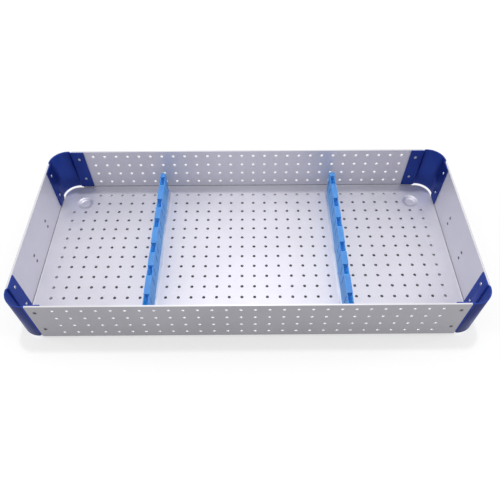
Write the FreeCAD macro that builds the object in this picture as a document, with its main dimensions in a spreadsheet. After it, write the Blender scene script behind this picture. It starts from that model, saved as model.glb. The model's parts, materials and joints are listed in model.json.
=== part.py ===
import FreeCAD, Part
import math
import os
import re

Vector = FreeCAD.Vector
Rotation = FreeCAD.Rotation
Placement = FreeCAD.Placement

# A perforated instrument tray for an ultrasonic bath. Millimetres, +Z up, +X along the length.
# The origin is under the middle of the tray, on the surface that its four pressed feet stand on.
doc = FreeCAD.newDocument("CleaningTray")
sheet = doc.addObject("Spreadsheet::Sheet", "Dimensions")

DIMENSIONS = (
    # Folded sheet: floor and four walls
    ("tray_length", 542.0),
    ("tray_width", 250.0),
    ("wall_height", 67.0),
    ("sheet_thickness", 2.0),
    ("bend_radius", 1.5),
    # Round perforation, on one square grid
    ("hole_pitch", 16.0),
    ("hole_radius", 2.0),
    ("floor_margin", 16.0),
    ("wall_side_margin", 8.0),
    ("wall_first_row", 10.2),
    ("wall_top_margin", 6.0),
    ("bare_corner_holes", 2),
    # Feet pressed down out of the floor
    ("foot_inset", 35.5),
    ("front_foot_inset", 29.5),
    ("foot_depth", 2.5),
    ("foot_flat_radius", 5.5),
    ("foot_rim_radius", 12.0),
    # Blue corner pieces
    ("corner_radius", 22.6),
    ("corner_thickness", 1.6),
    ("joggle_length", 3.6),
    ("corner_seam", 0.3),
    ("corner_overlap", 16.6),
    # Rivets, the same size everywhere
    ("rivet_radius", 1.4),
    ("rivet_clearance", 0.05),
    ("rivet_head_radius", 2.15),
    ("rivet_head_height", 0.9),
    ("rivet_edge", 8.3),
    ("rivet_low", 17.8),
    ("rivet_high", 54.5),
    # Divider rails and the silicone bars on them
    ("divider_pitch_count", 15),
    ("divider_end_gap", 10.5),
    ("rail_width", 14.0),
    ("rail_thickness", 1.5),
    ("bar_width", 7.0),
    ("bar_height", 36.5),
    ("notch_width", 15.0),
    ("notch_inner", 20.5),
    ("notch_middle", 55.5),
    ("notch_end_inset", 15.5),
    ("notch_floor", 13.0),
    ("web_thickness", 0.9),
    ("web_drop", 2.0),
    ("slit_width", 1.0),
    ("slit_drop", 6.5),
    ("plug_radius", 1.9),
    ("plug_head_radius", 3.6),
    ("plug_tip_radius", 2.4),
    ("plug_head_height", 1.5),
    ("plug_pitch_count", 5),
    ("plug_end_margin", 6.0),
    # Drop handles and the clips that carry them
    ("wire_radius", 2.0),
    ("wire_clearance", 0.08),
    ("handle_gap", 0.3),
    ("handle_height", 26.3),
    ("handle_drop", 24.0),
    ("handle_corner", 8.0),
    ("handle_elbow", 4.5),
    ("stub_end", 1.5),
    ("elbow_clearance", 0.5),
    ("clip_spacing", 57.0),
    ("clip_width", 10.0),
    ("clip_thickness", 1.0),
    ("clip_inner_bend", 0.4),
    ("clip_rivet_offset", 5.6),
    ("clip_edge", 2.8),
)

# Places that several pieces share, each worked out from the dimensions and the places before it
PLACES = (
    ("half_length", "tray_length / 2"),
    ("half_width", "tray_width / 2"),
    ("floor_under", "foot_depth"),
    ("floor_top", "floor_under + sheet_thickness"),
    ("rim", "floor_top + wall_height"),
    ("floor_half_x", "half_length - sheet_thickness - bend_radius"),
    ("floor_half_y", "half_width - sheet_thickness - bend_radius"),
    ("corner_x", "half_length - corner_radius"),
    ("corner_y", "half_width - corner_radius"),
    ("step_x", "corner_x - joggle_length"),
    ("step_y", "corner_y - joggle_length"),
    ("wall_end_x", "step_x - corner_seam"),
    ("wall_end_y", "step_y - corner_seam"),
    ("flange_face_x", "half_length - sheet_thickness"),
    ("flange_face_y", "half_width - sheet_thickness"),
    ("flange_low", "floor_top + bend_radius + corner_seam"),
    ("flange_reach", "corner_seam + corner_overlap"),
    ("rivet_bore", "rivet_radius + rivet_clearance"),
    ("corner_rivet_x", "wall_end_x - rivet_edge"),
    ("corner_rivet_y", "wall_end_y - rivet_edge"),
    ("low_rivet_z", "floor_top + rivet_low"),
    ("high_rivet_z", "floor_top + rivet_high"),
    ("divider_x", "divider_pitch_count * hole_pitch / 2"),
    ("divider_half", "half_width - sheet_thickness - divider_end_gap"),
    ("rail_top", "floor_top + rail_thickness"),
    ("bar_top", "floor_top + bar_height"),
    ("bar_inner_face", "divider_x - bar_width / 2"),
    ("plug_reach", "min(floor_half_y - floor_margin; divider_half - plug_end_margin)"),
    ("plug_end", "(floor(plug_reach / hole_pitch + 0.5) - 0.5) * hole_pitch"),
    ("plug_inner", "plug_pitch_count * hole_pitch / 2"),
    ("wire_stand", "handle_gap + wire_radius"),
    ("wire_x", "half_length + wire_stand"),
    ("wire_z", "floor_top + handle_height"),
    ("clip_y", "clip_spacing / 2"),
    ("clip_bore", "wire_radius + wire_clearance"),
    ("clip_hump", "clip_bore + clip_thickness / 2"),
    ("clip_ear", "clip_rivet_offset + clip_edge"),
    ("elbow_y", "clip_y + clip_width / 2 + elbow_clearance"),
    ("leg_y", "elbow_y + handle_elbow"),
    ("grip_z", "wire_z - handle_drop"),
)
OWNER = {name: "Dimensions" for name, number in DIMENSIONS}
OWNER.update({name: "Places" for name, text in PLACES})


def formula(text):
    """The same formula with each name pointing at its cell."""

    def cell(found):
        word = found.group()
        return OWNER[word] + "." + word if word in OWNER else word

    return re.sub(r"[a-z_]+", cell, text)


def fill(target, entries):
    for row, (name, content) in enumerate(entries, 1):
        target.set("A%d" % row, name)
        target.set("B%d" % row, content)
        target.setAlias("B%d" % row, name)
    doc.recompute()


places = doc.addObject("Spreadsheet::Sheet", "Places")
fill(sheet, [(name, str(number)) for name, number in DIMENSIONS])
fill(places, [(name, "=" + formula(text).replace("Places.", "")) for name, text in PLACES])


def bound(kind, name, at=("0", "0", "0"), turn=None, **sizes):
    """A Part primitive whose sizes and place follow formulas."""
    made = doc.addObject("Part::" + kind, name)
    if turn is not None:
        made.Placement = Placement(Vector(), turn)
    for prop, text in sizes.items():
        made.setExpression(prop, formula(text))
    for axis, text in zip("xyz", at):
        made.setExpression("Placement.Base." + axis, formula(text))
    return made


def fused(name, pieces):
    made = doc.addObject("Part::MultiFuse", name)
    made.Shapes = pieces
    made.Refine = True
    return made


def cut(name, base, tools):
    """base without the tools, which are joined first."""
    tool = tools[0] if len(tools) == 1 else fused(name + "Tools", tools)
    made = doc.addObject("Part::Cut", name)
    made.Base = base
    made.Tool = tool
    made.Refine = True
    return made


def mirrored(name, source, normal):
    made = doc.addObject("Part::Mirroring", name)
    made.Source = source
    made.Normal = normal
    return made


def feature(name, shape):
    made = doc.addObject("Part::Feature", name)
    made.Shape = shape
    return made


ACROSS_X = Vector(1, 0, 0)
ACROSS_Y = Vector(0, 1, 0)
UP = Vector(0, 0, 1)
DOWN = Vector(0, 0, -1)
ALONG_Y = Rotation(Vector(0, 0, 1), Vector(0, 1, 0))
subparts = []


def subpart(name, piece):
    """Marks a finished piece. Its Label names its file."""
    piece.Label = name
    subparts.append(piece)
    return piece


# Tray shell

def grid(half_length, margin):
    """Places along one axis of a grid with no hole on its middle line, out to a margin."""
    pitch = sheet.hole_pitch
    count = int(math.floor((half_length - margin) / pitch + 0.5))
    return [sign * (step + 0.5) * pitch for step in range(count) for sign in (-1, 1)]


def circle(centre, radius, normal):
    return Part.Wire(Part.makeCircle(radius, centre, normal))


def plate(outline, holes, thickness):
    """A flat plate. Its holes' wires run the other way round from its outline."""
    return Part.Face([outline] + holes).extrude(thickness)


def rounded_rectangle(half_x, half_y, radius, z):
    """A closed wire round the origin with round corners."""
    edges = []
    diagonal = radius * math.sqrt(0.5)
    for sx, sy, turn in ((1, 1, 1), (-1, 1, -1), (-1, -1, 1), (1, -1, -1)):
        centre = Vector(sx * (half_x - radius), sy * (half_y - radius), z)
        side = centre + Vector(sx * radius, 0, 0)
        middle = centre + Vector(sx * diagonal, sy * diagonal, 0)
        end = centre + Vector(0, sy * radius, 0)
        arc = (side, middle, end) if turn == 1 else (end, middle, side)
        edges.append(arc)
    wire = []
    for number, (first, middle, last) in enumerate(edges):
        wire.append(Part.Arc(first, middle, last).toShape())
        following = edges[(number + 1) % 4][0]
        wire.append(Part.LineSegment(last, following).toShape())
    return Part.Wire(wire)


def pressed_foot(centre_x, centre_y):
    """A round dish pressed down out of the floor: flat in the middle, with an S-shaped side."""
    flat, rim = sheet.foot_flat_radius, sheet.foot_rim_radius
    depth, thickness = sheet.foot_depth, sheet.sheet_thickness
    run = rim - flat
    bend = (run * run + depth * depth) / (4 * depth)
    half_angle = math.atan2(depth, run)

    def side(z):
        """The S from the dish's flat, at height z, up to the floor."""
        low, high = Vector(flat, 0, z), Vector(rim, 0, z + depth)
        middle = (low + high) / 2
        rise = bend * (1 - math.cos(half_angle))
        reach = bend * math.sin(half_angle)
        lower = Part.Arc(low, Vector(flat + reach, 0, z + rise), middle).toShape()
        upper = Part.Arc(middle, Vector(rim - reach, 0, z + depth - rise), high).toShape()
        return [lower, upper]

    def line(first, last):
        return Part.LineSegment(first, last).toShape()

    bottom = 0.0
    top = bottom + thickness
    profile = [line(Vector(0, 0, bottom), Vector(flat, 0, bottom))]
    profile += side(bottom)
    profile.append(line(Vector(rim, 0, bottom + depth), Vector(rim, 0, top + depth)))
    profile += side(top)
    profile.append(line(Vector(flat, 0, top), Vector(0, 0, top)))
    profile.append(line(Vector(0, 0, top), Vector(0, 0, bottom)))
    face = Part.Face(Part.Wire(Part.__sortEdges__(profile)))
    dish = face.revolve(Vector(), UP, 360)
    dish.translate(Vector(centre_x, centre_y, 0))
    return dish


def wall(length_axis, half_span, face_at, columns, rows, extra):
    """One upright wall with its bend. face_at is its outer face's distance from the middle."""
    thickness, bend = sheet.sheet_thickness, sheet.bend_radius
    start = places.floor_top + bend
    rim = places.rim
    inner = face_at - thickness
    corners = [
        Vector(-half_span, inner, start),
        Vector(half_span, inner, start),
        Vector(half_span, inner, rim),
        Vector(-half_span, inner, rim),
    ]
    outline = Part.makePolygon(corners + corners[:1])
    holes = [circle(Vector(x, inner, z), sheet.hole_radius, ACROSS_Y) for x in columns for z in rows]
    holes += [circle(Vector(x, inner, z), places.rivet_bore, ACROSS_Y) for x, z in extra]
    upright = plate(outline, holes, Vector(0, thickness, 0))

    middle = Vector(-half_span, inner - bend, start)
    outer_ring = Part.makeCylinder(bend + thickness, 2 * half_span, middle, ACROSS_X)
    inner_ring = Part.makeCylinder(bend, 2 * half_span, middle, ACROSS_X)
    size = bend + thickness
    quarter = Part.makeBox(2 * half_span, size, size, middle - Vector(0, 0, size))
    fold = outer_ring.cut(inner_ring).common(quarter)
    made = [upright, fold]
    if length_axis == "y":
        for piece in made:
            piece.rotate(Vector(), UP, -90)
    return made


def both_sides(pieces):
    """The pieces and their copies turned half round the middle."""
    copies = []
    for piece in pieces:
        copy = piece.copy()
        copy.rotate(Vector(), UP, 180)
        copies.append(copy)
    return pieces + copies


def tray_shell():
    half_x, half_y = places.half_length, places.half_width
    floor_x, floor_y = places.floor_half_x, places.floor_half_y
    under = places.floor_under
    foot_x = half_x - sheet.foot_inset
    foot_ys = (half_y - sheet.foot_inset, sheet.front_foot_inset - half_y)
    feet = [(sign * foot_x, y) for sign in (-1, 1) for y in foot_ys]

    # The grid has no holes at its corners, where the feet are
    columns, rows = grid(floor_x, sheet.floor_margin), grid(floor_y, sheet.floor_margin)
    kept_x = max(columns) - (sheet.bare_corner_holes - 0.5) * sheet.hole_pitch
    kept_y = max(rows) - (sheet.bare_corner_holes - 0.5) * sheet.hole_pitch
    reach = sheet.foot_rim_radius + sheet.hole_radius + sheet.sheet_thickness / 2
    holes = []
    for x in columns:
        for y in rows:
            in_corner = abs(x) > kept_x and abs(y) > kept_y
            near_foot = min(math.hypot(x - fx, y - fy) for fx, fy in feet) < reach
            if not in_corner and not near_foot:
                holes.append(circle(Vector(x, y, under), sheet.hole_radius, DOWN))
    holes += [circle(Vector(x, y, under), sheet.foot_rim_radius, DOWN) for x, y in feet]
    outline = rounded_rectangle(floor_x, floor_y, floor_x - places.corner_x, under)
    floor = plate(outline, holes, Vector(0, 0, sheet.sheet_thickness))

    # Long walls are perforated. End walls have rivet holes only
    span_x, span_y = places.wall_end_x, places.wall_end_y
    columns = grid(span_x - sheet.corner_overlap, sheet.wall_side_margin)
    free_height = sheet.wall_height - sheet.wall_first_row - sheet.wall_top_margin
    count = int(math.floor(free_height / sheet.hole_pitch)) + 1
    first = places.floor_top + sheet.wall_first_row
    rows = [first + step * sheet.hole_pitch for step in range(count)]
    heights = [places.low_rivet_z, places.high_rivet_z]
    long_rivets = [(sign * places.corner_rivet_x, z) for sign in (-1, 1) for z in heights]
    end_rivets = [(sign * places.corner_rivet_y, z) for sign in (-1, 1) for z in heights]
    clip_heights = [places.wire_z + sign * sheet.clip_rivet_offset for sign in (-1, 1)]
    end_rivets += [(sign * places.clip_y, z) for sign in (-1, 1) for z in clip_heights]
    long_wall = wall("x", span_x, half_y, columns, rows, long_rivets)
    end_wall = wall("y", span_y, half_x, [], [], end_rivets)

    dishes = [pressed_foot(x, y) for x, y in feet]
    pieces = dishes + both_sides(long_wall) + both_sides(end_wall)
    return floor.multiFuse(pieces)


subpart("tray_shell", feature("TrayShell", tray_shell()))


# Bent sheet

def beside(point, heading, distance):
    """The place at a distance to the left of a point, for someone who faces along the heading."""
    return point + Vector(-math.sin(heading), math.cos(heading), 0) * distance


def bent_strip(start, moves, thickness):
    """A strip of sheet seen edge on, as a face. It starts towards +Y.

    Each move is (length, 0) for a straight run, or (radius, angle) for a bend, with the angle in
    degrees and positive to the left. Lengths and radii are those of the strip's middle line.
    """
    point, heading = start, math.pi / 2
    stops = [(point, heading)]
    edges = []
    for size, turn in moves:
        if turn == 0:
            ahead = Vector(math.cos(heading), math.sin(heading), 0) * size
            stations = [(point, heading), (point + ahead, heading)]
        else:
            reach = math.copysign(size, turn)
            centre = beside(point, heading, reach)
            headings = [heading + math.radians(turn) * share for share in (0, 0.5, 1)]
            stations = [(beside(centre, angle, -reach), angle) for angle in headings]
        for side in (-thickness / 2, thickness / 2):
            line = [beside(place, angle, side) for place, angle in stations]
            edge = Part.LineSegment(*line) if turn == 0 else Part.Arc(*line)
            edges.append(edge.toShape())
        point, heading = stations[-1]
    stops.append((point, heading))
    for place, angle in stops:
        sides = [beside(place, angle, side) for side in (-thickness / 2, thickness / 2)]
        edges.append(Part.LineSegment(*sides).toShape())
    return Part.Face(Part.Wire(Part.__sortEdges__(edges)))


def joggle(step, length):
    """The radius and angle of the two equal bends that move a strip sideways by one step."""
    angle = 2 * math.atan2(step, length)
    return length / (2 * math.sin(angle)), math.degrees(angle)


# Corner pieces: a quarter tube, joggled inward at each side to a flange inside the wall

def corner_piece():
    thickness = sheet.corner_thickness
    bend, angle = joggle(sheet.sheet_thickness, sheet.joggle_length)
    quarter = (sheet.corner_radius - thickness / 2, 90)
    flange = (places.flange_reach, 0)
    middle = places.flange_face_x - thickness / 2
    start = Vector(middle, places.step_y - places.flange_reach, places.flange_low)
    moves = [flange, (bend, -angle), (bend, angle), quarter, (bend, angle), (bend, -angle), flange]
    tall = Vector(0, 0, places.rim - places.flange_low)
    whole = bent_strip(start, moves, thickness).extrude(tall)

    holes = []
    size = (places.rivet_bore, 3 * thickness)
    for z in (places.low_rivet_z, places.high_rivet_z):
        end_at = Vector(places.flange_face_x - 2 * thickness, places.corner_rivet_y, z)
        long_at = Vector(places.corner_rivet_x, places.flange_face_y - 2 * thickness, z)
        holes.append(Part.makeCylinder(*size, end_at, ACROSS_X))
        holes.append(Part.makeCylinder(*size, long_at, ACROSS_Y))
    return feature("CornerBackRight", whole.cut(holes))


corner_back_right = subpart("corner_back_right", corner_piece())
corner_back_left = subpart("corner_back_left", mirrored("CornerBackLeft", corner_back_right, ACROSS_X))
subpart("corner_front_right", mirrored("CornerFrontRight", corner_back_right, ACROSS_Y))
subpart("corner_front_left", mirrored("CornerFrontLeft", corner_back_left, ACROSS_Y))


# Rivets: a shank with a low dome at each end

def rivet(start, direction, grip):
    """A closed rivet whose outer head sits at start. Its shank runs grip millimetres along direction."""
    shank, head, tall = sheet.rivet_radius, sheet.rivet_head_radius, sheet.rivet_head_height
    # Each dome is a slice of a ball whose centre lies on the shank's axis
    ball = (head * head + tall * tall) / (2 * tall)
    outer_ball = Part.makeSphere(ball, Vector(0, 0, ball - tall))
    inner_ball = Part.makeSphere(ball, Vector(0, 0, grip + tall - ball))
    room = 2 * ball
    outer_side = Part.makeBox(room, room, tall, Vector(-ball, -ball, -tall))
    inner_side = Part.makeBox(room, room, tall, Vector(-ball, -ball, grip))
    domes = [outer_ball.common(outer_side), inner_ball.common(inner_side)]
    made = Part.makeCylinder(shank, grip).multiFuse(domes)
    made.Placement = Placement(start, Rotation(UP, direction))
    return made


def corner_rivets():
    half_x, half_y = places.half_length, places.half_width
    grip = sheet.sheet_thickness + sheet.corner_thickness
    made = []
    for z in (places.low_rivet_z, places.high_rivet_z):
        made.append(rivet(Vector(places.corner_rivet_x, half_y, z), Vector(0, -1, 0), grip))
        made.append(rivet(Vector(half_x, places.corner_rivet_y, z), Vector(-1, 0, 0), grip))
    return Part.makeCompound(made)


rivets_back_right = subpart("corner_rivets_back_right", feature("RivetsBackRight", corner_rivets()))
rivets_back_left = subpart(
    "corner_rivets_back_left", mirrored("RivetsBackLeft", rivets_back_right, ACROSS_X)
)
subpart("corner_rivets_front_right", mirrored("RivetsFrontRight", rivets_back_right, ACROSS_Y))
subpart("corner_rivets_front_left", mirrored("RivetsFrontLeft", rivets_back_left, ACROSS_Y))


# Dividers: a flat rail on the floor and a notched silicone bar, held by the bar's own plugs

PLUG_PLACES = ("-plug_end", "-plug_inner", "plug_inner", "plug_end")


def divider_rail():
    strip = bound(
        "Box",
        "RailStrip",
        ("divider_x - rail_width / 2", "-divider_half", "floor_top"),
        Length="rail_width",
        Width="2 * divider_half",
        Height="rail_thickness",
    )
    through = dict(Radius="hole_radius", Height="2 * sheet_thickness + rail_thickness")
    holes = []
    for y in PLUG_PLACES:
        holes.append(bound("Cylinder", "RailHole", ("divider_x", y, "floor_under"), **through))
    return cut("RailRight", strip, holes)


def divider_bar():
    block = bound(
        "Box",
        "BarBlock",
        ("bar_inner_face", "-divider_half", "rail_top"),
        Length="bar_width",
        Width="2 * divider_half",
        Height="bar_top - rail_top",
    )
    inside = dict(Length="bar_width - 2 * web_thickness", Width="notch_width", Height="bar_height")
    across = dict(Length="3 * bar_width", Width="notch_width", Height="bar_height")
    slit = dict(Length="3 * bar_width", Width="slit_width", Height="bar_height - notch_floor - slit_drop")
    beyond = "bar_inner_face - bar_width"
    tools = []
    for centre in ("notch_inner", "notch_middle", "(divider_half - notch_end_inset)"):
        for sign in ("-", ""):
            side = sign + centre + " - notch_width / 2"
            # A deep pocket, open above, leaves a thin web at each face
            pocket_at = ("bar_inner_face + web_thickness", side, "floor_top + notch_floor")
            tools.append(bound("Box", "Pocket", pocket_at, **inside))
            # The webs end a little below the tops of the teeth
            tools.append(bound("Box", "Saddle", (beyond, side, "bar_top - web_drop"), **across))
            # A slit at each end of the pocket lets the webs give way to an instrument
            for slit_side in (side, side + " + notch_width - slit_width"):
                tools.append(bound("Box", "Slit", (beyond, slit_side, "floor_top + notch_floor"), **slit))
    comb = cut("BarComb", block, tools)

    plugs = []
    for y in PLUG_PLACES:
        at = ("divider_x", y, "floor_under - plug_head_height")
        neck = dict(Radius="plug_radius", Height="rail_top - floor_under + plug_head_height")
        plugs.append(bound("Cylinder", "PlugNeck", at, **neck))
        head = dict(Radius1="plug_tip_radius", Radius2="plug_head_radius", Height="plug_head_height")
        plugs.append(bound("Cone", "PlugHead", at, **head))
    return fused("BarRight", [comb] + plugs)


rail_right = subpart("divider_rail_right", divider_rail())
bar_right = subpart("divider_bar_right", divider_bar())
subpart("divider_rail_left", mirrored("RailLeft", rail_right, ACROSS_X))
subpart("divider_bar_left", mirrored("BarLeft", bar_right, ACROSS_X))


# Handle clips: a strap that wraps over the wire, with an ear above and an ear below

def handle_clip():
    thickness = sheet.clip_thickness
    hump = places.clip_hump
    bend = sheet.clip_inner_bend + thickness / 2
    # The bend between an ear and the hump touches both, and its centre lies nearer to the wall
    inward = places.wire_stand - thickness / 2 - bend
    apart = math.sqrt((hump + bend) ** 2 - inward ** 2)
    turn = 180 - math.degrees(math.atan2(apart, inward))
    ear = (places.clip_ear - apart, 0)
    moves = [ear, (bend, -turn), (hump, 2 * turn), (bend, -turn), ear]
    start = Vector(thickness / 2, -places.clip_ear, 0)
    strap = bent_strip(start, moves, thickness).extrude(Vector(0, 0, sheet.clip_width))
    strap.rotate(Vector(), ACROSS_X, 90)
    far_side = places.clip_y + sheet.clip_width / 2
    strap.translate(Vector(places.half_length, far_side, places.wire_z))
    holes = []
    for sign in (-1, 1):
        z = places.wire_z + sign * sheet.clip_rivet_offset
        at = Vector(places.half_length - thickness, places.clip_y, z)
        holes.append(Part.makeCylinder(places.rivet_bore, 3 * thickness, at, ACROSS_X))
    return feature("ClipRightBack", strap.cut(holes))


clip_right_back = subpart("handle_clip_right_back", handle_clip())
clip_left_back = subpart("handle_clip_left_back", mirrored("ClipLeftBack", clip_right_back, ACROSS_X))
subpart("handle_clip_right_front", mirrored("ClipRightFront", clip_right_back, ACROSS_Y))
subpart("handle_clip_left_front", mirrored("ClipLeftFront", clip_left_back, ACROSS_Y))


def handle_rivets():
    grip = sheet.clip_thickness + sheet.sheet_thickness
    outer = places.half_length + sheet.clip_thickness
    made = []
    for sign in (-1, 1):
        z = places.wire_z + sign * sheet.clip_rivet_offset
        made.append(rivet(Vector(outer, places.clip_y, z), Vector(-1, 0, 0), grip))
    return Part.makeCompound(made)


clip_rivets_right_back = subpart(
    "handle_rivets_right_back", feature("ClipRivetsRightBack", handle_rivets())
)
clip_rivets_left_back = subpart(
    "handle_rivets_left_back", mirrored("ClipRivetsLeftBack", clip_rivets_right_back, ACROSS_X)
)
subpart(
    "handle_rivets_right_front", mirrored("ClipRivetsRightFront", clip_rivets_right_back, ACROSS_Y)
)
subpart("handle_rivets_left_front", mirrored("ClipRivetsLeftFront", clip_rivets_left_back, ACROSS_Y))


# Drop handles: bent wire, hanging from its clips

def handle_half():
    """The back half of the right handle: a stub in the clip, an elbow, a leg, a corner and half the grip."""
    stub_from = "clip_y - clip_width / 2 - stub_end"
    stub_at = ("wire_x", stub_from, "wire_z")
    wire = dict(Radius="wire_radius")
    stub = bound("Cylinder", "HandleStub", stub_at, ALONG_Y, Height="elbow_y - (%s)" % stub_from, **wire)
    # Each bend is a quarter torus, turned so that it starts where one run ends
    elbow = bound(
        "Torus",
        "HandleElbow",
        ("wire_x", "elbow_y", "wire_z - handle_elbow"),
        Rotation(Vector(0, 1, 0), Vector(0, 0, 1), Vector(1, 0, 0), "XYZ"),
        Radius1="handle_elbow",
        Radius2="wire_radius",
        Angle3="90",
    )
    leg_at = ("wire_x", "leg_y", "grip_z + handle_corner")
    leg_long = "handle_drop - handle_elbow - handle_corner"
    leg = bound("Cylinder", "HandleLeg", leg_at, Height=leg_long, **wire)
    corner = bound(
        "Torus",
        "HandleCorner",
        ("wire_x", "leg_y - handle_corner", "grip_z + handle_corner"),
        Rotation(Vector(0, 0, -1), Vector(0, 1, 0), Vector(1, 0, 0), "XYZ"),
        Radius1="handle_corner",
        Radius2="wire_radius",
        Angle3="90",
    )
    grip_at = ("wire_x", "0", "grip_z")
    grip = bound("Cylinder", "HandleGrip", grip_at, ALONG_Y, Height="leg_y - handle_corner", **wire)
    return fused("HandleHalf", [stub, elbow, leg, corner, grip])


half = handle_half()
other_half = mirrored("HandleOtherHalf", half, ACROSS_Y)
handle_right = subpart("handle_right", fused("HandleRight", [half, other_half]))
subpart("handle_left", mirrored("HandleLeft", handle_right, ACROSS_X))

doc.recompute()

for item in doc.Objects:
    if "Invalid" in item.State or "Error" in item.State:
        raise RuntimeError("%s failed: %s" % (item.Name, item.State))
for piece in subparts:
    if piece.Shape.isNull() or not piece.Shape.isValid() or not piece.Shape.Solids:
        raise RuntimeError("%s has no valid solid" % piece.Label)

os.makedirs("parts", exist_ok=True)
for piece in subparts:
    piece.Shape.exportStep(os.path.join("parts", piece.Label + ".step"))
    box = piece.Shape.BoundBox
    print(
        "%-28s %d solids %9.0f mm3  x %.1f %.1f  y %.1f %.1f  z %.1f %.1f"
        % (
            piece.Label,
            len(piece.Shape.Solids),
            piece.Shape.Volume,
            box.XMin,
            box.XMax,
            box.YMin,
            box.YMax,
            box.ZMin,
            box.ZMax,
        )
    )
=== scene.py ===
import json
import math

import bpy
from mathutils import Matrix, Vector


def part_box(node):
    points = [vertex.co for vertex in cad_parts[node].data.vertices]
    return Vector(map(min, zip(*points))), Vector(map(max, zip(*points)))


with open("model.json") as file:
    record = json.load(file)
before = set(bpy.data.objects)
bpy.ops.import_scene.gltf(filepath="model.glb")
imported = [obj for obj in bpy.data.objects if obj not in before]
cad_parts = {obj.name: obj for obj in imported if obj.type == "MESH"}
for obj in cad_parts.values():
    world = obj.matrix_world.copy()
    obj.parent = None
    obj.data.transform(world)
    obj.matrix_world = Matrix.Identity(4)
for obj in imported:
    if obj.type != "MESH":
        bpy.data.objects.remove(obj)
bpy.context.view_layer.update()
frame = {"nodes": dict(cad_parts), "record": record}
MM = 0.001


# Places taken from the frame

SHELL_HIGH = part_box("tray_shell")[1]
HALF_LENGTH = SHELL_HIGH.x
HALF_WIDTH = SHELL_HIGH.y
RIM = SHELL_HIGH.z
CORNER_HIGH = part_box("corner_back_right")[1]
RAIL_LOW, RAIL_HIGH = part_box("divider_rail_right")
FLOOR_TOP = RAIL_LOW.z
BAR_LOW, BAR_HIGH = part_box("divider_bar_right")
BAR_MIDDLE = (BAR_LOW.x + BAR_HIGH.x) / 2
BAR_TOP = BAR_HIGH.z


# Sizes of the forms that the materials tell apart. A face counts as SKIN deep there.

SKIN = 0.2 * MM
SHEET = 2.0 * MM
# Up to FOLD_HEIGHT above the floor, the folds carry painted shade
FOLD_HEIGHT = 1.6 * MM
CORNER_RADIUS = 22.6 * MM
BAR_WIDTH = 7.0 * MM
WEB = 0.9 * MM
POCKET_PLACES = [place * MM for place in (20.5, 55.5, 97.0)]
POCKET_LENGTH = 15.0 * MM
# The saddles' painted shade reaches down to SADDLE_LOW. The pockets' painted light is full at GLOW_LOW and
# gone at GLOW_HIGH.
SADDLE_LOW = BAR_TOP - 3.0 * MM
GLOW_HIGH = BAR_TOP - 1.0 * MM
GLOW_LOW = BAR_TOP - 9.0 * MM
SLIT_PLACES = [place * MM for place in (13.5, 27.5, 48.5, 62.5, 90.0, 104.0)]
SLIT_LOW = FLOOR_TOP + 13.0 * MM
SLIT_HIGH = FLOOR_TOP + 30.0 * MM
# Painted shade around the slits is full within SLIT_DARK and gone at SLIT_FADED
SLIT_DARK = 0.7 * MM
SLIT_FADED = 1.1 * MM


# Camera, at the place that the photograph's perspective gives, with its turns in degrees

TRAY_TO_CAMERA = Vector((1.4, -403.8, 535.7)) * MM
LENS_MM = 35.93
SENSOR_MM = 36.0
NEAREST_SEEN = 10.0 * MM
TILT = 37.15
HEADING = -0.173
ROLL = -0.254


def turned(degrees, axis):
    return Matrix.Rotation(math.radians(degrees), 4, axis)


camera_data = bpy.data.cameras.new("camera")
camera_data.lens = LENS_MM
camera_data.sensor_width = SENSOR_MM
camera_data.clip_start = NEAREST_SEEN
camera = bpy.data.objects.new("camera", camera_data)
bpy.context.scene.collection.objects.link(camera)
camera_place = Matrix.Translation(TRAY_TO_CAMERA + Vector((0, 0, FLOOR_TOP)))
camera.matrix_world = camera_place @ turned(HEADING, "Z") @ turned(TILT, "X") @ turned(ROLL, "Z")
bpy.context.scene.camera = camera


# Materials

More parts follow.
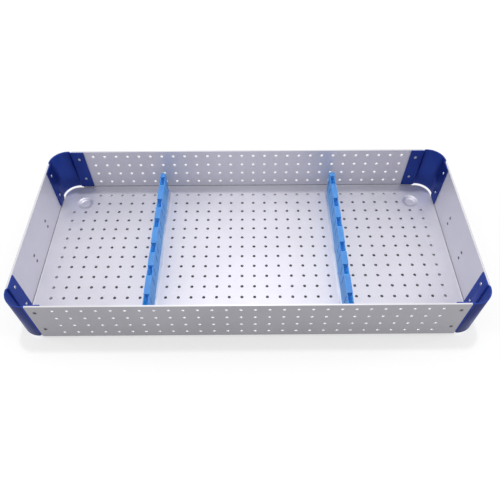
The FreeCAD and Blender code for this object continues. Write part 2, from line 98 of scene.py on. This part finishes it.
class Shader:
    """A node material that starts from one Principled shader."""

    def __init__(self, name, sockets):
        self.material = bpy.data.materials.new(name)
        self.material.use_nodes = True
        self.tree = self.material.node_tree
        self.base = self.tree.nodes["Principled BSDF"]
        for socket, content in sockets.items():
            self.base.inputs[socket].default_value = content

    def node(self, kind, **settings):
        made = self.tree.nodes.new("ShaderNode" + kind)
        for name, content in settings.items():
            setattr(made, name, content)
        return made

    def link(self, source, target):
        self.tree.links.new(source, target)

    def feed(self, socket, source):
        self.link(source, self.base.inputs[socket])

    def noise(self, scale, detail=2.0, stretch=(1, 1, 1)):
        """Noise over the object's own coordinates, in features per metre."""
        place = self.node("TexCoord")
        mapping = self.node("Mapping")
        mapping.inputs["Scale"].default_value = stretch
        made = self.node("TexNoise")
        made.inputs["Scale"].default_value = scale
        made.inputs["Detail"].default_value = detail
        self.link(place.outputs["Object"], mapping.inputs["Vector"])
        self.link(mapping.outputs["Vector"], made.inputs["Vector"])
        return made.outputs["Fac"]

    def between(self, factor, low, high, start=0.35, end=0.65):
        """A number that runs from low to high as the factor runs from start to end.

        Most of a noise lies between the start and end that are given here.
        """
        made = self.node("MapRange")
        for socket, content in (("From Min", start), ("From Max", end), ("To Min", low), ("To Max", high)):
            made.inputs[socket].default_value = content
        self.link(factor, made.inputs["Value"])
        return made.outputs["Result"]

    def cloud(self, scale):
        """A soft cloud from 0 to 1, in features per metre."""
        return self.between(self.noise(scale, detail=4.0), low=0.0, high=1.0)

    def blend(self, factor, first, second):
        """A colour between two colours, each a socket or its red, green and blue."""
        made = self.node("Mix", data_type="RGBA")
        self.link(factor, made.inputs["Factor"])
        for socket, content in (("A", first), ("B", second)):
            target = [each for each in made.inputs if each.name == socket and each.type == "RGBA"][0]
            if isinstance(content, tuple):
                target.default_value = (*content, 1.0)
            else:
                self.link(content, target)
        return [each for each in made.outputs if each.type == "RGBA"][0]

    def bump(self, height, depth, under=None):
        made = self.node("Bump")
        made.inputs["Distance"].default_value = depth
        self.link(height, made.inputs["Height"])
        if under is not None:
            self.link(under, made.inputs["Normal"])
        return made.outputs["Normal"]

    def calculate(self, operation, first, second=0.0):
        """A Math node over sockets or numbers."""
        made = self.node("Math", operation=operation)
        for socket, content in zip(made.inputs, (first, second)):
            if isinstance(content, (int, float)):
                socket.default_value = content
            else:
                self.link(content, socket)
        return made.outputs[0]

    def product(self, first, *others):
        for other in others:
            first = self.calculate("MULTIPLY", first, other)
        return first

    def over(self, content, limit):
        """1 where the content is over the limit, and 0 elsewhere."""
        return self.calculate("GREATER_THAN", content, limit)

    def under(self, content, limit):
        """1 where the content is under the limit, and 0 elsewhere."""
        return self.calculate("LESS_THAN", content, limit)

    def past(self, coordinate, limit):
        """How far a coordinate of either sign lies past the limit, outwards from the middle."""
        return self.calculate("SUBTRACT", self.calculate("ABSOLUTE", coordinate), limit)

    def off_nearest(self, coordinate, places):
        """How far a coordinate of either sign is from the nearest of the places."""
        distances = [self.calculate("ABSOLUTE", self.past(coordinate, place)) for place in places]
        nearest = distances[0]
        for distance in distances[1:]:
            nearest = self.calculate("MINIMUM", nearest, distance)
        return nearest

    def axes(self):
        """The object's own X, Y and Z, in metres."""
        place = self.node("TexCoord")
        split = self.node("SeparateXYZ")
        self.link(place.outputs["Object"], split.inputs[0])
        return split.outputs

    def past_walls(self):
        """How far a point lies outside the walls' outer faces. It is negative within them."""
        x, y = self.axes()[:2]
        return self.calculate("MAXIMUM", self.past(x, HALF_LENGTH), self.past(y, HALF_WIDTH))


# Features per metre of the metals' noises
METAL_CLOUD = 14.0
METAL_LINES = 900.0
METAL_SMEAR = 60.0


def metal_grain(made, rough, grain, grain_depth, polish=None):
    """Fine grain lines along one axis, in the gloss and the surface, under a faint smear."""
    lines = made.noise(METAL_LINES, stretch=grain)
    smear = made.between(made.noise(METAL_SMEAR, detail=3.0), low=0.92, high=1.08)
    roughness = made.product(made.between(lines, *rough), smear)
    if polish is not None:
        roughness = made.product(roughness, polish)
    made.feed("Roughness", roughness)
    made.feed("Normal", made.bump(lines, grain_depth))


def metal(name, dark, light, rough, grain, grain_depth):
    """Rolled or drawn metal: a soft cloud in its colour, and grain."""
    made = Shader(name, {"Metallic": 1.0})
    made.feed("Base Color", made.blend(made.cloud(METAL_CLOUD), dark, light))
    metal_grain(made, rough, grain, grain_depth)
    return made.material


def satin_aluminium():
    """Etched and clear anodised sheet.

    Outer faces are darker as painted shade, inner walls glossier and paler as painted light, cut edges and
    hole walls bright as a painted highlight, and folds darker as painted shade.
    """
    made = Shader("satin_aluminium", {"Metallic": 0.5})
    cloud = made.cloud(METAL_CLOUD)
    floor = made.blend(cloud, (0.53, 0.52, 0.58), (0.56, 0.55, 0.61))
    # Inner walls, a little paler than the floor as painted light
    inner_wall_painted_light = made.blend(cloud, (0.575, 0.565, 0.63), (0.605, 0.595, 0.66))
    # Outer faces, darker than the inner ones as painted shade
    outer = made.blend(cloud, (0.295, 0.290, 0.318), (0.315, 0.310, 0.338))
    # Painted shade in the folds between floor and walls
    painted_fold_shade = (0.26, 0.255, 0.28)
    # Cut edges and hole walls below the rim, brightened as a painted highlight
    hole_edge_painted_highlight = (0.76, 0.76, 0.79)
    rim_edge = (0.56, 0.56, 0.58)
    z = made.axes()[2]
    past_walls = made.past_walls()
    outside = made.over(past_walls, -SKIN)
    above_floor = made.over(z, FLOOR_TOP + SKIN)
    on_wall = made.over(z, FLOOR_TOP + FOLD_HEIGHT)
    in_fold = made.calculate("SUBTRACT", above_floor, on_wall)
    in_sheet = made.calculate("SUBTRACT", made.over(past_walls, SKIN - SHEET), outside)
    # Inner walls carry painted light, and outer faces painted shade
    faces = made.blend(outside, made.blend(on_wall, floor, inner_wall_painted_light), outer)
    # The folds get their painted shade
    folded = made.blend(in_fold, faces, painted_fold_shade)
    # Cut edges and hole walls below the rim get the painted highlight
    edges = made.blend(made.over(z, RIM - SKIN), hole_edge_painted_highlight, rim_edge)
    made.feed("Base Color", made.blend(made.product(in_sheet, on_wall), folded, edges))
    polish = made.between(on_wall, low=1.0, high=0.8, start=0.0, end=1.0)
    metal_grain(made, rough=(0.42, 0.48), grain=(0.02, 1, 1), grain_depth=0.004 * MM, polish=polish)
    return made.material


def blue_anodised():
    """Blue anodised sheet, darker on the outside of the quarter tube as painted shade."""
    made = Shader("blue_anodised", {"Metallic": 0.85, "Specular Tint": (0.62, 0.65, 0.85, 1)})
    cloud = made.cloud(scale=25.0)
    inner = made.blend(cloud, (0.023, 0.051, 0.270), (0.028, 0.061, 0.315))
    # The outside of the quarter tube, darker as painted shade
    outer = made.blend(cloud, (0.021, 0.027, 0.108), (0.025, 0.032, 0.128))
    x, y = made.axes()[:2]
    from_axis = made.node("CombineXYZ")
    made.link(made.calculate("MAXIMUM", made.past(x, CORNER_HIGH.x - CORNER_RADIUS)), from_axis.inputs[0])
    made.link(made.calculate("MAXIMUM", made.past(y, CORNER_HIGH.y - CORNER_RADIUS)), from_axis.inputs[1])
    reach = made.node("VectorMath", operation="LENGTH")
    made.link(from_axis.outputs[0], reach.inputs[0])
    outside = made.over(reach.outputs["Value"], CORNER_RADIUS - 2 * SKIN)
    made.feed("Base Color", made.blend(outside, inner, outer))
    lines = made.noise(scale=1100.0, stretch=(1, 1, 0.05))
    made.feed("Roughness", made.between(lines, low=0.32, high=0.36))
    made.feed("Normal", made.bump(lines, depth=0.0015 * MM))
    return made.material


def blue_silicone():
    """Translucent rubber.

    The pockets are lightened with painted light, for light through their webs, the saddles above them carry
    painted shade, and painted shade darkens the webs around the slits.
    """
    made = Shader("blue_silicone", {
        "Subsurface Weight": 0.8,
        "Subsurface Radius": (0.3, 0.6, 1.0),
        "Subsurface Scale": 6.0 * MM,
        "Specular IOR Level": 0.4,
    })
    skin = made.blend(made.cloud(scale=70.0), (0.046, 0.195, 0.47), (0.053, 0.213, 0.51))
    # Painted shade on the saddles above the pockets
    painted_saddle_shade = (0.036, 0.170, 0.45)
    # Painted light in the pockets, for light through their webs
    glow = (0.15, 0.50, 0.90)
    # Painted shade on the webs around the slits
    shade = (0.010, 0.055, 0.20)
    x, y, z = made.axes()

    at_pocket = made.under(made.off_nearest(y, POCKET_PLACES), POCKET_LENGTH / 2 - SKIN)
    on_saddle = made.product(at_pocket, made.over(z, SADDLE_LOW))
    within_webs = made.under(made.off_nearest(x, [BAR_MIDDLE]), (BAR_WIDTH - WEB) / 2)
    deep = made.between(z, 1.0, 0.0, GLOW_LOW, GLOW_HIGH)
    in_pocket = made.product(within_webs, deep, made.over(z, RAIL_HIGH.z + WEB))
    near_slit = made.between(made.off_nearest(y, SLIT_PLACES), 1.0, 0.0, SLIT_DARK, SLIT_FADED)
    on_web = made.calculate("SUBTRACT", 1.0, within_webs)
    at_slit = made.product(near_slit, on_web, made.over(z, SLIT_LOW), made.under(z, SLIT_HIGH))

    # Painted light in the pockets, and painted shade on the saddles
    lit = made.blend(in_pocket, made.blend(on_saddle, skin, painted_saddle_shade), glow)
    # Painted shade around the slits
    made.feed("Base Color", made.blend(at_slit, lit, shade))
    grain = made.noise(scale=2600.0)
    swell = made.bump(made.noise(scale=160.0), depth=0.12 * MM)
    made.feed("Normal", made.bump(grain, depth=0.02 * MM, under=swell))
    made.feed("Roughness", made.between(grain, low=0.44, high=0.58))
    return made.material


def rivet_aluminium():
    """Bright heads inside the tray, and heads outside it darkened as painted shade."""
    made = Shader("rivet_aluminium", {"Metallic": 1.0})
    cloud = made.cloud(METAL_CLOUD)
    bright = made.blend(cloud, (0.42, 0.42, 0.45), (0.48, 0.48, 0.51))
    # Heads outside the tray, darkened as painted shade
    outer_heads_painted_shade = made.blend(cloud, (0.090, 0.085, 0.085), (0.115, 0.110, 0.108))
    outside = made.over(made.past_walls(), -SHEET)
    made.feed("Base Color", made.blend(outside, bright, outer_heads_painted_shade))
    metal_grain(made, rough=(0.24, 0.36), grain=(1, 1, 1), grain_depth=0.01 * MM)
    return made.material


FINISH = {
    "satin_aluminium": satin_aluminium(),
    "blue_anodised": blue_anodised(),
    "blue_silicone": blue_silicone(),
    "rail": metal(
        "rail_aluminium", dark=(0.70, 0.70, 0.74), light=(0.74, 0.74, 0.78),
        rough=(0.28, 0.38), grain=(1, 0.02, 1), grain_depth=0.015 * MM,
    ),
    "rivet": rivet_aluminium(),
    "rivet_steel": metal(
        "rivet_steel", dark=(0.13, 0.13, 0.14), light=(0.17, 0.17, 0.18),
        rough=(0.28, 0.42), grain=(1, 1, 1), grain_depth=0.01 * MM,
    ),
    "clip_steel": metal(
        "clip_steel", dark=(0.52, 0.52, 0.535), light=(0.58, 0.58, 0.595),
        rough=(0.24, 0.38), grain=(1, 0.03, 1), grain_depth=0.012 * MM,
    ),
    "wire_steel": metal(
        "wire_steel", dark=(0.56, 0.56, 0.575), light=(0.62, 0.62, 0.635),
        rough=(0.16, 0.26), grain=(1, 0.05, 1), grain_depth=0.006 * MM,
    ),
}
for part in frame["record"]["subparts"]:
    mesh = frame["nodes"][part["node"]].data
    mesh.materials.clear()
    mesh.materials.append(FINISH[part["material_slot"]])


# Rounded edges, by the start of the nodes' names

EDGE_WIDTHS = {
    "corner_back": 0.25 * MM,
    "corner_front": 0.25 * MM,
    "divider_rail": 0.25 * MM,
    "divider_bar": 0.25 * MM,
    "handle_clip": 0.15 * MM,
}
WELD_DISTANCE = 0.001 * MM
FLAT_ANGLE = 0.5
SHARP_ANGLE = 35.0


def round_edges(piece, width):
    """Joins a piece's flat faces into whole ones and rounds its sharp edges a little."""
    weld = piece.modifiers.new("weld", "WELD")
    weld.merge_threshold = WELD_DISTANCE
    flat = piece.modifiers.new("flat", "DECIMATE")
    flat.decimate_type = "DISSOLVE"
    flat.angle_limit = math.radians(FLAT_ANGLE)
    bevel = piece.modifiers.new("edges", "BEVEL")
    bevel.width = width
    bevel.segments = 2
    bevel.limit_method = "ANGLE"
    bevel.angle_limit = math.radians(SHARP_ANGLE)
    bevel.use_clamp_overlap = False
    bevel.harden_normals = True


for node, piece in frame["nodes"].items():
    for start, width in EDGE_WIDTHS.items():
        if node.startswith(start):
            round_edges(piece, width)


# Stage and light

TABLE_SIZE = 30.0

# The table's shine fades between these distances, inwards from the walls' outer faces
SHINE_FULL = 12.0 * MM
SHINE_GONE = 25.0 * MM


def stage_floor(whitened):
    """A white table. Seen by the camera or in a reflection, part of it shines, so shadows on it are faint.

    Under the tray it doesn't shine, so the tray's holes look dark.
    """
    made = Shader("stage_floor", {
        "Roughness": 0.8,
        "Base Color": (0.7, 0.7, 0.705, 1),
        "Specular IOR Level": 0.0,
    })
    glow = made.node("Emission")
    path = made.node("LightPath")
    mirrored = made.calculate("MAXIMUM", path.outputs["Is Glossy Ray"], path.outputs["Is Transmission Ray"])
    seen = made.calculate("MAXIMUM", path.outputs["Is Camera Ray"], mirrored)
    shine = made.between(made.past_walls(), 0.0, whitened, -SHINE_GONE, -SHINE_FULL)
    mix = made.node("MixShader")
    made.link(made.product(seen, shine), mix.inputs[0])
    made.link(made.base.outputs[0], mix.inputs[1])
    made.link(glow.outputs[0], mix.inputs[2])
    made.link(mix.outputs[0], made.tree.nodes["Material Output"].inputs["Surface"])
    bpy.ops.mesh.primitive_plane_add(size=TABLE_SIZE, location=(0, 0, 0))
    plane = bpy.context.object
    plane.name = "stage_floor"
    plane.data.materials.append(made.material)


def white_world():
    """An even white sky."""
    made = bpy.data.worlds.new("studio")
    bpy.context.scene.world = made
    made.use_nodes = True
    background = made.node_tree.nodes["Background"]
    background.inputs["Color"].default_value = (1, 1, 1, 1)


def lamp(name, zenith, heading, distance, size, power):
    """A square lamp that looks at the origin from zenith degrees off the vertical."""
    data = bpy.data.lights.new(name, "AREA")
    data.size = size
    data.energy = power
    made = bpy.data.objects.new(name, data)
    bpy.context.scene.collection.objects.link(made)
    made.matrix_world = turned(heading, "Z") @ turned(-zenith, "X") @ Matrix.Translation((0, 0, distance))


stage_floor(whitened=0.5)
white_world()
lamp("key", zenith=13.0, heading=0.0, distance=5.0, size=0.35, power=82.0)
lamp("left_fill", zenith=68.0, heading=90.0, distance=3.0, size=1.5, power=37.0)
lamp("right_fill", zenith=68.0, heading=-90.0, distance=3.0, size=1.5, power=37.0)

bpy.context.scene.view_settings.view_transform = "Standard"
